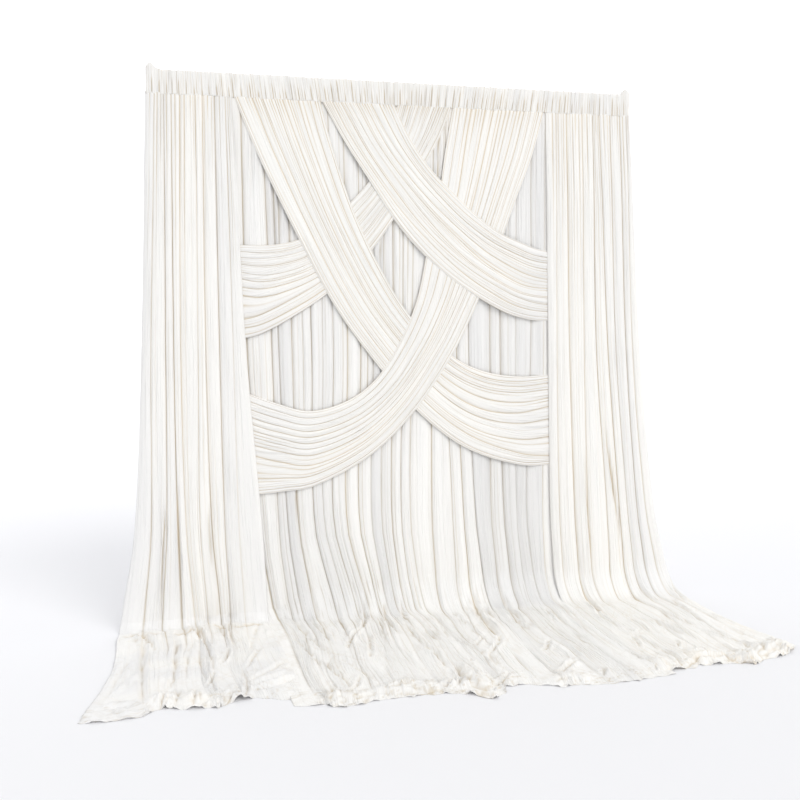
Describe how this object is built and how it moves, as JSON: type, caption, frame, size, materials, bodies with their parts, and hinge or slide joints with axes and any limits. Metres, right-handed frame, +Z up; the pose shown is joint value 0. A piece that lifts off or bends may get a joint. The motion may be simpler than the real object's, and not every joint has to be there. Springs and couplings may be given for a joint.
{
  "type": "backdrop drape",
  "caption": "Ivory jersey backdrop drape with a gathered rod-pocket heading, pleated back, two side panels, crossing swags and trains spread on the floor.",
  "frame": {"origin": "the middle of the heading's top edge, on the line of the rod", "axes": "+X along the rod to the viewer's right, +Y away from the viewer, +Z up; the trains run forward along -Y"},
  "size_m": [3.631, 1.478, 3.0628],
  "materials": {
    "ivory_jersey": "matt ivory jersey knit with a faint sheen",
    "back_jersey": "the same jersey, cooler and greyer where it hangs in shade"
  },
  "bodies": {
    "root": {"heading": "ivory_jersey", "back_drape": "back_jersey", "side_panel_left": "ivory_jersey", "side_panel_right": "ivory_jersey", "swag_upper_left": "ivory_jersey", "swag_lower_right": "ivory_jersey", "swag_lower_left": "ivory_jersey", "swag_upper_right": "ivory_jersey"}
  },
  "joints": []
}
